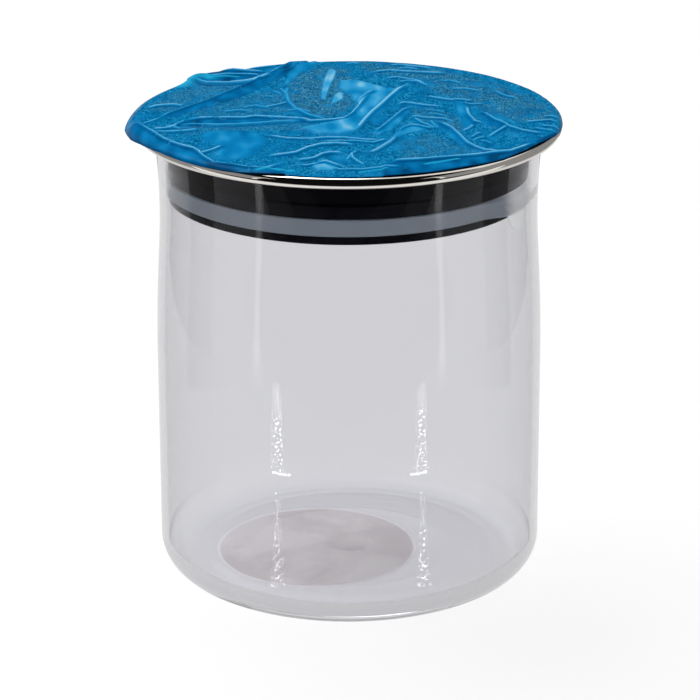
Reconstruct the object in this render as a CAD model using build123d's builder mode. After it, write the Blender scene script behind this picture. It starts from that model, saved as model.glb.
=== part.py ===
from build123d import *
import os
from math import cos, radians, sin

os.makedirs("parts", exist_ok=True)

# All sizes are in millimetres. The origin is the centre of the jar's foot, +Z is up and -Y is the front.

# Glass jar
body_radius = 50.2
wall = 1.8
jar_height = 119.6
floor_thickness = 3.2
base_corner_radius = 8.5
foot_width = 3.5
push_up_height = 0.5
push_up_run = 1.6
push_up_bend = 2
waist_draw = 1.45
taper_drop = 27
neck_height = 22.6
throat_flare = 0.3
mouth_height = 10.6
mouth_flare = 0.85
taper_bend = 450
waist_bend = 150
throat_bend = 60
rim_rounding = 0.6
floor_mark_radius = 6
floor_mark_height = 0.5

# Steel cap
cap_reach = 4.9
cap_sheet = 0.6
curl_radius = 1.5
curl_turn = 290

# Black plug under the cap
flange_gap = 1.5
flange_height = 1.9
plug_depth = 17.4
plug_clearance = 0.75
plug_wall = 2.2
plug_floor = 2
lip_height = 2.2
collar_height = 3.2
collar_step = 2.7
seat_gap = 0.05

# Silicone seal round the plug, with its pull tab
seal_height = 5
seal_depth = 1.75
seal_clearance = 0.05
seal_rounding = 0.4
groove_clearance = 0.05
tab_thickness = 1
tab_inset = 0.2
tab_length = 11
tab_width = 32
tab_slant = 5
tab_rise = 4.6
tab_azimuth = 76
notch_clearance = 0.4

# Blue protective film on the cap
film_thickness = 0.15
film_turn_down = 25

# Round paper label under the floor
label_thickness = 0.12
label_shift = 8.9
label_margin = 1.1

# Radii and heights of the jar that follow from the sizes above
push_up_radius = body_radius - base_corner_radius - foot_width
floor_top = push_up_height + floor_thickness
waist_radius = body_radius - waist_draw
waist_height = jar_height - neck_height
taper_height = waist_height - taper_drop
throat_radius = waist_radius + throat_flare
throat_height = jar_height - mouth_height
mouth_radius = throat_radius + mouth_flare
neck_slope = throat_flare / (throat_height - waist_height)

# Radii and heights of the lid, from the glass rim up and down
cap_radius = mouth_radius + cap_reach
flange_radius = cap_radius - 2 * curl_radius - flange_gap
flange_bottom = jar_height + seat_gap
cap_bottom = flange_bottom + flange_height
cap_top = cap_bottom + cap_sheet
curl_centre = (cap_radius - curl_radius, cap_top - curl_radius)
plug_bottom = flange_bottom - plug_depth
seal_bottom = plug_bottom + lip_height
seal_top = seal_bottom + seal_height
label_radius = push_up_radius - push_up_run - label_margin - label_shift


def bore_radius(height):
    """Inside radius of the glass neck at a height between its waist and its throat."""
    return waist_radius - wall + (height - waist_height) * neck_slope


def neck_line(inset):
    """Side of the jar from the straight wall to the mouth, moved in by an inset."""
    return [
        (body_radius - inset, taper_height),
        (waist_radius - inset, waist_height),
        (throat_radius - inset, throat_height),
        (mouth_radius - inset, jar_height),
    ]


def tab_strip(inner_radius, outer_radius, bottom, top, rise, growth):
    """Curved strip at the pull tab's place, whose slanted sides stand out by a growth.

    The corner of its bottom edge that is nearer to the front is higher by a rise.
    """
    side = radians(tab_azimuth)
    facing = Plane(origin=(0, 0, 0), x_dir=(cos(side), sin(side), 0), z_dir=(sin(side), -cos(side), 0))
    half_top = tab_width / 2 + growth
    half_bottom = half_top - tab_slant * (top - bottom) / tab_length
    with BuildPart() as strip:
        with BuildSketch(Plane.XY.offset(bottom)):
            Circle(outer_radius)
            Circle(inner_radius, mode=Mode.SUBTRACT)
        extrude(amount=top - bottom)
        with BuildSketch(facing):
            with BuildLine():
                Polyline(
                    (-half_bottom, bottom + rise),
                    (half_bottom, bottom),
                    (half_top, top),
                    (-half_top, top),
                    close=True,
                )
            make_face()
        extrude(amount=outer_radius, mode=Mode.INTERSECT)
    return strip.part


# Glass jar, blown with a gently drawn-in neck, a rounded base and a push-up under the floor
with BuildPart() as glass_jar:
    with BuildSketch(Plane.XZ):
        with BuildLine():
            outside = FilletPolyline(
                (0, push_up_height),
                (push_up_radius - push_up_run, push_up_height),
                (push_up_radius, 0),
                (body_radius, 0),
                *neck_line(0),
                radius=[
                    push_up_bend,
                    push_up_bend,
                    base_corner_radius,
                    taper_bend,
                    waist_bend,
                    throat_bend,
                ],
            )
            inside = FilletPolyline(
                (floor_mark_radius, floor_top),
                (body_radius - wall, floor_top),
                *neck_line(wall),
                radius=[
                    base_corner_radius - wall,
                    taper_bend - wall,
                    waist_bend + wall,
                    throat_bend + wall,
                ],
            )
            floor_mark = TangentArc(
                (0, floor_top + floor_mark_height), (floor_mark_radius, floor_top), tangent=(1, 0)
            )
            Line(outside @ 1, inside @ 1)
            Line(outside @ 0, floor_mark @ 0)
        make_face()
    revolve(axis=Axis.Z)
    rim = glass_jar.edges().group_by(Axis.Z)[-1]
    fillet(rim, rim_rounding)
glass_jar.part.label = "glass_jar"
export_step(glass_jar.part, "parts/glass_jar.step")

# Label stuck to the underside of the floor, off centre to the left
with BuildPart() as base_label:
    with BuildSketch(Plane.XY.offset(push_up_height)):
        with Locations((-label_shift, 0)):
            Circle(label_radius)
    extrude(amount=-label_thickness)
base_label.part.label = "base_label"
export_step(base_label.part, "parts/base_label.step")

# Pressed cap, a flat disc whose edge is curled under into a hollow bead
with BuildPart() as lid_cap:
    with BuildSketch(Plane.XZ):
        with BuildLine():
            top_face = Line((0, cap_top), (curl_centre[0], cap_top))
            curl_outside = CenterArc(curl_centre, curl_radius, 90, -curl_turn)
            curl_inside = CenterArc(curl_centre, curl_radius - cap_sheet, 90, -curl_turn)
            Line(curl_outside @ 1, curl_inside @ 1)
            underside = Line(curl_inside @ 0, (0, cap_bottom))
            Line(underside @ 1, top_face @ 0)
        make_face()
    revolve(axis=Axis.Z)
lid_cap.part.label = "lid_cap"
export_step(lid_cap.part, "parts/lid_cap.step")

# Moulded plug, a cup with a flange on the glass rim, a collar, a seal groove and a lower lip
groove_radius = bore_radius(seal_bottom) - seal_depth
lip_radius = bore_radius(plug_bottom) - plug_clearance
collar_radius = bore_radius(seal_top) - plug_clearance
collar_top = seal_top + collar_height
stem_radius = collar_radius - collar_step
cup_radius = stem_radius - plug_wall
lip_notch = tab_strip(
    groove_radius, body_radius, plug_bottom - lip_height, seal_bottom, 0, notch_clearance
)
with BuildPart() as lid_plug:
    with BuildSketch(Plane.XZ):
        with BuildLine():
            Polyline(
                (0, plug_bottom),
                (lip_radius, plug_bottom),
                (lip_radius, seal_bottom),
                (groove_radius, seal_bottom),
                (groove_radius, seal_top),
                (collar_radius, seal_top),
                (collar_radius, collar_top),
                (stem_radius, collar_top),
                (stem_radius, flange_bottom),
                (flange_radius, flange_bottom),
                (flange_radius, cap_bottom),
                (cup_radius, cap_bottom),
                (cup_radius, plug_bottom + plug_floor),
                (0, plug_bottom + plug_floor),
                close=True,
            )
        make_face()
    revolve(axis=Axis.Z)
    add(lip_notch, mode=Mode.SUBTRACT)
lid_plug.part.label = "lid_plug"
export_step(lid_plug.part, "parts/lid_plug.step")

# Silicone seal, a band in the plug's groove whose outer face follows the neck, with the pull tab below it
band_bottom = seal_bottom + groove_clearance
band_top = seal_top - groove_clearance
band_inside = groove_radius + groove_clearance
tab_outside = bore_radius(waist_height) - tab_inset
pull_tab = tab_strip(
    tab_outside - tab_thickness,
    tab_outside,
    seal_bottom - tab_length,
    band_bottom + seal_rounding,
    tab_rise,
    0,
)
with BuildPart() as seal_ring:
    with BuildSketch(Plane.XZ):
        with BuildLine():
            Polyline(
                (band_inside, band_bottom),
                (bore_radius(band_bottom) - seal_clearance, band_bottom),
                (bore_radius(band_top) - seal_clearance, band_top),
                (band_inside, band_top),
                close=True,
            )
        make_face()
        fillet(vertices().sort_by(Axis.X)[-2:], seal_rounding)
    revolve(axis=Axis.Z)
    add(pull_tab)
seal_ring.part.label = "seal_ring"
export_step(seal_ring.part, "parts/seal_ring.step")

# Thin film stuck to the cap, turned down over the top of its bead
with BuildPart() as protective_film:
    with BuildSketch(Plane.XZ):
        with BuildLine():
            film_under = Line((0, cap_top), (curl_centre[0], cap_top))
            turn_under = CenterArc(curl_centre, curl_radius, 90, -film_turn_down)
            turn_over = CenterArc(curl_centre, curl_radius + film_thickness, 90, -film_turn_down)
            Line(turn_under @ 1, turn_over @ 1)
            film_over = Line(turn_over @ 0, (0, cap_top + film_thickness))
            Line(film_over @ 1, film_under @ 0)
        make_face()
    revolve(axis=Axis.Z)
protective_film.part.label = "protective_film"
export_step(protective_film.part, "parts/protective_film.step")
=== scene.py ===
import bpy
import bmesh
import numpy as np
from functools import partial
from math import cos, pi, radians, sin, tan
from mathutils import Matrix, Vector, noise


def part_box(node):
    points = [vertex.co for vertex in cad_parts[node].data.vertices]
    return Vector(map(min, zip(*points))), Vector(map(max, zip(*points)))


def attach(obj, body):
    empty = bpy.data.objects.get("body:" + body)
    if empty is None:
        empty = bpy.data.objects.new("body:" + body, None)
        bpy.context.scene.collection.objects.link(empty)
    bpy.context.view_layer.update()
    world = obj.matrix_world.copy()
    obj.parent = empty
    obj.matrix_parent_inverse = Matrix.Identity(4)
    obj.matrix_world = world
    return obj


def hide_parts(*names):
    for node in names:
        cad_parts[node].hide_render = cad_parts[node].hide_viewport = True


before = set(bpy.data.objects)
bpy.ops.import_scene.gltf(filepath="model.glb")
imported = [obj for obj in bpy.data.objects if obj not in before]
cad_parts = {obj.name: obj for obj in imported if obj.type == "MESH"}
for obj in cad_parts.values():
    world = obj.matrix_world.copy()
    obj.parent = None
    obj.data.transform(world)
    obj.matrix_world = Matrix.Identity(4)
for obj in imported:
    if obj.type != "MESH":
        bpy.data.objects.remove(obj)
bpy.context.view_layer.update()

mm = 0.001

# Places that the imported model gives
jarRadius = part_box("glass_jar")[1].x
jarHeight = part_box("glass_jar")[1].z
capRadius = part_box("lid_cap")[1].x
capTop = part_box("lid_cap")[1].z
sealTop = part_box("seal_ring")[1].z
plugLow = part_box("lid_plug")[0].z


# Small helpers

def hexColour(text):  # sRGB hex to the linear colour that shaders take
    parts = [int(text[i:i + 2], 16) / 255 for i in (0, 2, 4)]
    return [v / 12.92 if v <= 0.04045 else ((v + 0.055) / 1.055) ** 2.4 for v in parts] + [1]


def addNode(tree, kind, settings=None, links=None):
    # settings go to the node's sockets where it has one by that name or number, else to its
    # properties; text for a socket is a hex colour, and stops are a ramp's places and colours;
    # a link from a node is one from its first output (a colour mix has its colours at the
    # sockets 6 and 7, and gives its result at 2)
    node = tree.nodes.new("ShaderNode" + kind)
    settings = dict(settings or {})
    for i, (place, colour) in enumerate(settings.pop("stops", [])):
        stops = node.color_ramp.elements
        stop = stops[i] if i < len(stops) else stops.new(place)
        stop.position = place
        stop.color = hexColour(colour)
    for key, value in settings.items():
        if isinstance(key, str) and key not in node.inputs:
            setattr(node, key, value)
    for key, value in settings.items():
        if not isinstance(key, str) or key in node.inputs:
            value = hexColour(value) if isinstance(value, str) else value
            node.inputs[key].default_value = value
    for key, source in (links or {}).items():
        source = source.outputs[0] if isinstance(source, bpy.types.Node) else source
        tree.links.new(source, node.inputs[key])
    return node


def newMaterial(name):  # the material, and the function that adds a node to it
    material = bpy.data.materials.new(name)
    material.use_nodes = True
    material.node_tree.nodes.clear()
    return material, partial(addNode, material.node_tree)


def finishMaterial(material, surface):
    addNode(material.node_tree, "OutputMaterial", {}, {"Surface": surface})
    return material


def finishMesh(name, shape, sharpAngle=35):
    mesh = bpy.data.meshes.new(name)
    shape.to_mesh(mesh)
    shape.free()
    mesh.shade_smooth()
    mesh.set_sharp_from_angle(angle=radians(sharpAngle))
    piece = bpy.data.objects.new(name, mesh)
    bpy.context.scene.collection.objects.link(piece)
    return piece


def placePiece(piece, body, material, slot, *nodes):
    piece.data.materials.append(material)
    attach(piece, body)
    if nodes:
        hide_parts(*nodes)
    print("piece", piece.name, len(piece.data.polygons), "faces")
    return piece


def roundedPath(corners, radii, steps):
    # corners joined by straight lines, each inner corner rounded by its radius
    path = [Vector(corners[0])]
    for before, corner, after, radius in zip(corners, corners[1:], corners[2:], radii):
        corner = Vector(corner)
        if radius == 0:
            path.append(corner)
            continue
        back = (Vector(before) - corner).normalized()
        onward = (Vector(after) - corner).normalized()
        half = back.angle(onward) / 2
        centre = corner + (back + onward).normalized() * radius / sin(half)
        spoke = corner + back * radius / tan(half) - centre
        turn = spoke.angle_signed(corner + onward * radius / tan(half) - centre)
        # a point a little before and after the rounding keeps the flats beside it flat
        beside = radius / tan(half) + min(0.2 * radius, 0.15 * mm)
        path.append(corner + back * beside)
        for i in range(steps + 1):
            path.append(centre + Matrix.Rotation(-turn * i / steps, 2) @ spoke)
        path.append(corner + onward * beside)
    path.append(Vector(corners[-1]))
    return path


def turned(name, outline, steps, closed=False):
    # a turned shape: the outline, radius and height, spun about the jar's axis
    shape = bmesh.new()
    points = [shape.verts.new((r, 0, z)) for r, z in outline]
    ends = points[1:] + points[:1] * closed
    lines = [shape.edges.new(pair) for pair in zip(points, ends)]
    bmesh.ops.spin(shape, geom=points + lines, cent=(0, 0, 0), axis=(0, 0, 1),
                   angle=2 * pi, steps=steps, use_merge=True)
    bmesh.ops.remove_doubles(shape, verts=shape.verts, dist=0.0001 * mm)
    bmesh.ops.recalc_face_normals(shape, faces=shape.faces)
    return finishMesh(name, shape)


def reshaped(piece, change):
    # the piece, with its mesh changed by a function
    shape = bmesh.new()
    shape.from_mesh(piece.data)
    change(shape)
    shape.to_mesh(piece.data)
    shape.free()
    return piece


def roundGrid(segments):
    # a square sheet's grid, and the places of its points when it is drawn to a disc of radius 1
    shape = bmesh.new()
    bmesh.ops.create_grid(shape, x_segments=segments, y_segments=segments, size=1)
    square = np.array([point.co[:2] for point in shape.verts])
    return shape, square * np.sqrt(1 - square[:, ::-1] ** 2 / 2)


def thickened(shape, thickness):
    bmesh.ops.recalc_face_normals(shape, faces=shape.faces)
    bmesh.ops.solidify(shape, geom=shape.faces[:], thickness=thickness)
    bmesh.ops.recalc_face_normals(shape, faces=shape.faces)
    return shape


def addLayer(shape, name, values):  # an attribute of the mesh's points, for its material
    layer = shape.verts.layers.float.new(name)
    for point, value in zip(shape.verts, values):
        point[layer] = value


def easeIn(value):
    value = np.clip(value, 0, 1)
    return value * value * (3 - 2 * value)


# Camera, at the photograph's angle, with a frame of 700 by 700 pixels

camera = {
    "distance": 839.7 * mm,   # from the jar's axis, level
    "height": 364.9 * mm,
    "aside": 0.25 * mm,       # the camera's place to the right of the jar's middle
    "tiltDown": 0.350,        # radians
    "roll": -0.003,
    "focalPixels": 3401.4,
    "frame": 700,
    "sensor": 36,
    "clipStart": 10 * mm,
}
eye = Vector((camera["aside"], -camera["distance"], camera["height"]))
eyeTurn = (Matrix.Rotation(pi / 2 - camera["tiltDown"], 4, "X")
           @ Matrix.Rotation(camera["roll"], 4, "Z"))
cameraData = bpy.data.cameras.new("camera")
cameraData.sensor_width = camera["sensor"]
cameraData.lens = camera["sensor"] * camera["focalPixels"] / camera["frame"]
cameraData.clip_start = camera["clipStart"]
cameraObject = bpy.data.objects.new("camera", cameraData)
cameraObject.matrix_world = Matrix.Translation(eye) @ eyeTurn
bpy.context.scene.collection.objects.link(cameraObject)
bpy.context.scene.camera = cameraObject
print("camera", round(cameraData.lens, 1), "mm lens")


def onLevel(pixel, height):  # the point at a height that a pixel of the photograph shows
    middle = camera["frame"] / 2
    ray = Vector((pixel[0] - middle, middle - pixel[1], -camera["focalPixels"]))
    ray = eyeTurn.to_3x3() @ ray
    return eye + ray * (height - eye.z) / ray.z


# Glass jar: borosilicate glass, blown in a mould, so clear and fire-polished with soft corners

jar = {
    "wall": 1.8 * mm,
    "floorThickness": 3.2 * mm,
    "baseCorner": 8.5 * mm,
    "footWidth": 3.5 * mm,
    "pushUpHeight": 0.5 * mm,
    "pushUpRun": 12 * mm,
    "pushUpBend": 2 * mm,
    "waistDraw": 1.45 * mm,
    "taperDrop": 27 * mm,
    "neckHeight": 22.6 * mm,
    "throatRise": 12 * mm,
    "throatFlare": 0.3 * mm,
    "mouthFlare": 0.85 * mm,
    "taperBend": 450 * mm,
    "waistBend": 150 * mm,
    "throatBend": 60 * mm,
    "rimRounding": 0.7 * mm,
    "markRadius": 6 * mm,
    "markHeight": 0.3 * mm,
    "clearing": (4.2 * mm, 5.8 * mm),   # the heights between which the base's greyer tint ends, which is partly the thick glass and partly painted shade
    "steps": 256,
    "bendSteps": 12,
    "markSteps": 8,
}
waistRadius = jarRadius - jar["waistDraw"]
waistHeight = jarHeight - jar["neckHeight"]
pushUpRadius = jarRadius - jar["baseCorner"] - jar["footWidth"]


def neckLine(inset):
    throat = waistRadius + jar["throatFlare"] - inset
    return [
        (jarRadius - inset, waistHeight - jar["taperDrop"]),
        (waistRadius - inset, waistHeight),
        (throat, waistHeight + jar["throatRise"]),
        (throat + jar["mouthFlare"], jarHeight),
    ]


def boreRadius(height):  # inside radius of the neck between its waist and its throat
    flare = (height - waistHeight) * jar["throatFlare"] / jar["throatRise"]
    return waistRadius - jar["wall"] + flare


def jarOutline():
    floorTop = jar["pushUpHeight"] + jar["floorThickness"]
    wall = jar["wall"]
    corners = [(0, jar["pushUpHeight"]), (pushUpRadius - jar["pushUpRun"], jar["pushUpHeight"]),
               (pushUpRadius, 0), (jarRadius, 0)] + neckLine(0)
    radii = [jar["pushUpBend"], jar["pushUpBend"], jar["baseCorner"], jar["taperBend"],
             jar["waistBend"], jar["throatBend"], jar["rimRounding"]]
    corners += neckLine(wall)[::-1] + [(jarRadius - wall, floorTop), (jar["markRadius"], floorTop)]
    radii += [jar["rimRounding"], jar["throatBend"] + wall, jar["waistBend"] + wall,
              jar["taperBend"] - wall, jar["baseCorner"] - wall]
    outline = roundedPath(corners, radii, jar["bendSteps"])
    for i in range(jar["markSteps"]):  # the shallow mark in the middle of the floor
        share = 1 - (i + 1) / jar["markSteps"]
        height = floorTop + jar["markHeight"] * (1 - share ** 2)
        outline.append(Vector((jar["markRadius"] * share, height)))
    return outline


def blownGlass():
    # borosilicate glass, blown and fire-polished: perfectly smooth, faintly grey, and greyer in
    # the base, partly for its thick glass and partly as painted shade
    material, add = newMaterial("borosilicate_glass_blown")
    place = add("TexCoord").outputs["Object"]
    height = add("SeparateXYZ", {}, {"Vector": place}).outputs["Z"]
    low, high = jar["clearing"]
    height = add("MapRange", {"From Min": low, "From Max": high}, {"Value": height})
    # greyer towards the base: partly the thick glass, partly painted shade
    tint = add("ValToRGB", {"stops": [(0, "E5E5E8"), (1, "E7E7E9")]}, {"Fac": height})
    glass = add("BsdfPrincipled", {
        "Roughness": 0, "IOR": 1.47, "Transmission Weight": 1, "Specular Tint": "A0A0A0"},
        {"Base Color": tint})
    clear = add("BsdfTransparent", {"Color": "FBFBFC"})
    letOut = add("BsdfTransparent", {"Color": "D2D2D4"})
    ray = add("LightPath")
    # light that goes to and fro inside the wall is let out greyed, where it would end in black
    caught = add("Math", {"operation": "GREATER_THAN", 1: 0.5}, {0: ray.outputs["Glossy Depth"]})
    seen = add("MixShader", {}, {"Fac": caught, 1: glass, 2: letOut})
    blend = add("MixShader", {}, {"Fac": ray.outputs["Is Shadow Ray"], 1: seen, 2: clear})
    return finishMaterial(material, blend)


jarPiece = turned("jar_body", jarOutline(), jar["steps"])
placePiece(jarPiece, "jar", blownGlass(), "jar_glass", "glass_jar")

# Steel cap: pressed stainless steel, its edge curled into a bright bead

cap = {
    "sheet": 0.6 * mm,
    "curl": 1.5 * mm,
    "turn": 290,               # degrees that the edge is curled
    "turningGrain": 0.35 * mm,
    "arcSteps": 40,
    "steps": 256,
}
curlCentre = Vector((capRadius - cap["curl"], capTop - cap["curl"]))


def capOutline():
    def arc(radius, start, end):
        return [curlCentre + Vector((cos(a), sin(a))) * radius
                for a in np.radians(np.linspace(start, end, cap["arcSteps"]))]
    outer = arc(cap["curl"], 90, 90 - cap["turn"])
    inner = arc(cap["curl"] - cap["sheet"], 90 - cap["turn"], 90)
    return [Vector((0, capTop))] + outer + inner + [Vector((0, capTop - cap["sheet"]))]


def pressedSteel():
    # stainless steel, pressed and polished: mirror bright with faint turning marks round the axis
    material, add = newMaterial("stainless_steel_pressed")
    place = add("TexCoord").outputs["Object"]
    ring = add("TexWave", {
        "wave_type": "RINGS", "rings_direction": "Z", "Scale": 1 / cap["turningGrain"],
        "Distortion": 6, "Detail": 3, "Detail Scale": 2}, {"Vector": place})
    grain = add("MapRange", {"To Min": 0.03, "To Max": 0.09}, {"Value": ring.outputs["Fac"]})
    steel = add("BsdfPrincipled", {"Base Color": "DEDAD4", "Metallic": 1}, {"Roughness": grain})
    return finishMaterial(material, steel)


capPiece = turned("steel_cap", capOutline(), cap["steps"])
placePiece(capPiece, "lid", pressedSteel(), "cap_steel", "lid_cap")

# Protective film: thin blue plastic film, crumpled, clinging to the cap in places and loose in
# others. Its folds are placed by the pixels at which the photograph shows them.

film = {
    "segments": 304,
    "gap": 0.06 * mm,            # the film's middle above the cap
    "flatSize": 112 * mm,
    "flatArea": 0.0096,          # square metres, the round cut
    # azimuth in degrees from +X towards the back, then how far the edge turns down there, in
    # degrees, and the bend's radius in mm
    "edge": [
        (-180, 80, 4.2), (-168, 84, 3), (-160, 82, 2.1), (-148, 66, 1.7), (-132, 64, 1.6),
        (-125, 56, 1.6), (-117, 42, 1.6), (-105, 6, 1.6), (-90, 4, 1.6), (-60, 10, 1.6),
        (-45, 26, 1.6), (-40, 18, 1.6), (-30, 12, 1.6), (-22, 34, 1.6), (-12, 72, 1.6),
        (0, 84, 1.6), (20, 60, 1.6), (60, 40, 1.6), (90, 30, 1.6), (120, 30, 1.6),
        (148, 40, 1.8), (165, 56, 3.8), (180, 80, 4.2),
    ],
    "rimStart": 0.985,           # the share of the radius where the cut edge begins to show
    "rimWidth": 0.01,
    "rimDarker": 0.6,
    # a tip that curls up at the back left
    "curlAzimuth": 139,
    "curlSpread": 4.6,           # degrees
    "curlHeight": 2.1 * mm,
    "curlStart": 49.5 * mm,
    "curlPull": 1.2 * mm,        # how far it is drawn in
    "curlGain": 1.3,
    # creases: factors of the width, and how strong the painted highlight on the crest and the
    # painted shade in front of it are beside their own height
    "creaseWidth": 0.72,
    "creaseRunOut": 6,           # each end takes up a sixth of the length
    "creaseEnd": 0.1,
    "crestPaintedHighlight": 0.68,
    "crestPaintedShade": 0.5,
    "paintedShadeShift": 2.2,           # the painted shade lies that many widths towards the front
    "paintedShadeSpread": 1.7,
    "paintedHighlightLoose": 1.2,
    "paintedShadeLoose": 1.1,
    # tones, from 0, dark, to 1, light, into which the creases' painted highlights and painted shade
    # and the swirl's painted soft shading are mixed
    "tone": 0.4,
    "paintedShadeTone": 0.05,
    "paintedShadeShare": 0.9,
    "paintedHighlightShare": 0.95,
    "paintedHighlightPower": 1.4,
    "swirl": 0.34,
    "swirlGrain": 4 * mm,
    "swirlStretch": (1.3, 0.5),
    "swirlSlice": 3,             # the noise is cut at that place
    # small unevenness of the whole sheet
    "wave": 0.16 * mm,
    "waveGrain": 11 * mm,
    "crinkle": 0.05 * mm,
    "crinkleGrain": 2.6 * mm,
    "crinkleStretch": 1.6,
    "crinkleSlice": 7,
    "crinkleRoughness": (0.6, 2, 3),    # the fractal's dimension, lacunarity and octaves
    "edgeFlatter": 0.6,          # folds lose that share of their height on the turned-down edge
    "edgeFlatterIn": 3 * mm,
    # noises of the material: grain, detail, roughness, distortion, and whether it is drawn out
    # towards the back; the specks are air bubbles, coarser than real ones so that they show
    "drawnOut": (1, 0.55, 1),
    "noises": {
        "specks": (0.9 * mm, 4, 0.65, 1.6, True),
        "fine": (0.8 * mm, 3, 0.6, 2, True),
        "wrinkles": (8 * mm, 1, 0.4, 0.6, True),
        "wrinkled": (9 * mm, 1, 0.5, 0, False),
        "smooth": (7 * mm, 3, 0.6, 1, False),
    },
    "colours": {
        "specks": [(0.36, "004E78"), (0.5, "007EB8"), (0.66, "2CA8E0")],
        "fine": [(0.36, "0C4A6A"), (0.5, "2078A6"), (0.66, "5CB0D6")],
        # the tone runs from painted shade at the dark end to painted highlight at the light end
        "tone": [(0.05, "004C7E"), (0.3, "0072B0"), (0.55, "0C90D0"), (0.8, "3CB0E8"),
                 (1.0, "A0E0FA")],
    },
    # fine wrinkles, drawn along two level lines of a noise as a painted highlight and a painted
    # shade: the level and the colour of each
    "paintedWrinkleLines": [(0.5, "40B0E6"), (0.513, "005A8C")],
    "wrinkleWidth": 0.014,
    "wrinkled": (0.45, 0.6, 0.4),    # where they show: from and to that much noise, at most so much
    "smooth": (0.48, 0.62, 0.75),    # where it is loose without a fold, in the same way
}

# Smooth straps and blisters that stand off the cap: pixels of their outline, height and soft
# edge in mm, tone
filmPatches = {
    "longStrap": ([
        (146, 125), (171, 113), (190, 106.6), (211, 99.3), (231.5, 90.5), (252, 81.7), (266.7, 75),
        (280, 67), (292, 61), (312, 59), (302, 65), (296, 71), (288.7, 75), (275.5, 80.5),
        (260.8, 88), (247.6, 94), (231.5, 101), (208, 108), (190, 112.5)], 0.55, 0.9, 0.3),
    "strapWing": ([
        (288, 75), (302, 64), (318, 60), (312, 66), (300, 74), (292, 82), (284, 86),
    ], 0.3, 1.2, 0.55),
    "secondStrap": ([
        (174, 126), (186, 121.3), (199, 119), (231.5, 118), (256, 116.5), (281, 118), (311, 120),
        (300, 121), (281, 122.5), (260, 124), (237, 125.5), (194, 126)], 0.5, 0.7, 0.25),
    "backStrap": ([
        (180, 80), (187.5, 76.5), (205, 73), (219.7, 70.5), (233, 69.4), (249, 71), (270, 73),
        (262, 78), (246, 81.8), (228.5, 84), (208, 84), (190, 82)], 0.5, 0.8, 0.2),
    "leftBorder": ([
        (124, 124), (134, 121), (139, 123), (146, 128), (155, 133), (164, 139), (174, 143.3),
        (183, 146.2), (195, 149.2), (204, 157), (214, 163), (232, 165), (246, 167.5), (266, 168.5),
        (285, 169), (285, 182), (246, 182), (214, 176), (183, 168), (156, 156), (136, 145),
        (124, 134)], 0.45, 1.1, 0.3),
    "frontSmooth": ([
        (200, 133), (216, 131), (245, 131), (262, 134), (268, 142), (262, 150), (250, 158),
        (230, 160), (214, 155), (222, 146), (206, 141)], 0.22, 2.4, 0.5),
    "wideSwell": ([
        (339, 81), (356, 80), (373, 84.5), (388, 89), (396, 89), (409.6, 84), (406.5, 90),
        (399, 97), (391, 103), (380.5, 112.5), (368, 123), (357.5, 131), (338, 134), (318, 134),
        (300, 128), (330, 122), (344, 119), (351.4, 114), (357.5, 106), (350, 95.5), (338, 88),
    ], 0.6, 1.6, 0.72),
    "rightWedge": ([
        (412.7, 106.5), (402, 110.5), (394, 117), (386.6, 123), (379, 129), (371, 134),
        (380, 134.5), (391, 131), (400, 124), (408, 114)], 0.45, 1.0, 0.62),
    "longBlister": ([
        (328.3, 70), (324, 80), (321, 92), (320.5, 99), (325.4, 100), (329.8, 88), (337, 72),
        (333, 69.5)], 0.42, 0.7, 0.85),
    "smallBlister": ([
        (331, 104), (334, 96), (338.6, 92), (344.4, 93.4), (343, 99.3), (337, 102.5),
    ], 0.35, 0.8, 0.8),
    "rightBlister": ([
        (397, 133), (403.5, 127.7), (411, 125), (419, 126), (428, 128), (438, 128.6), (422, 131),
        (408, 134), (398, 138), (390, 144), (376, 151), (366, 154.5), (386, 142)], 0.45, 0.8, 0.7),
    "rightStrap": ([
        (433, 120), (443, 123), (452.5, 128), (460, 134), (468, 142), (477, 147), (486, 150),
        (498, 150.5), (484, 153), (470, 149), (456, 141), (444, 132)], 0.4, 1.0, 0.45),
    "rightTent": ([
        (480, 111), (486, 113.5), (495, 119.5), (507.6, 124.6), (497, 128), (488, 127), (483, 120),
    ], 0.4, 1.0, 0.35),
    "rightHollow": ([
        (453, 100), (464.7, 100.5), (468, 106), (469.5, 114), (475.5, 121), (487, 124), (474, 125),
        (463, 130), (459, 118), (456, 108)], 0.3, 1.0, 0.5),
    "frontPeak": ([
        (311, 167), (322, 161.5), (331, 161.5), (342, 167), (334, 171), (318, 171),
    ], 0.5, 1.2, 0.75),
    "frontRightBorder": ([
        (383, 165), (397, 160.5), (434, 158.5), (475, 155), (511, 151), (526, 145), (540, 139),
        (556, 131), (566, 126), (566, 140), (545, 150), (511, 164), (475, 172), (434, 178),
        (383, 181)], 0.25, 1.2, 0.22),
}

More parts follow.
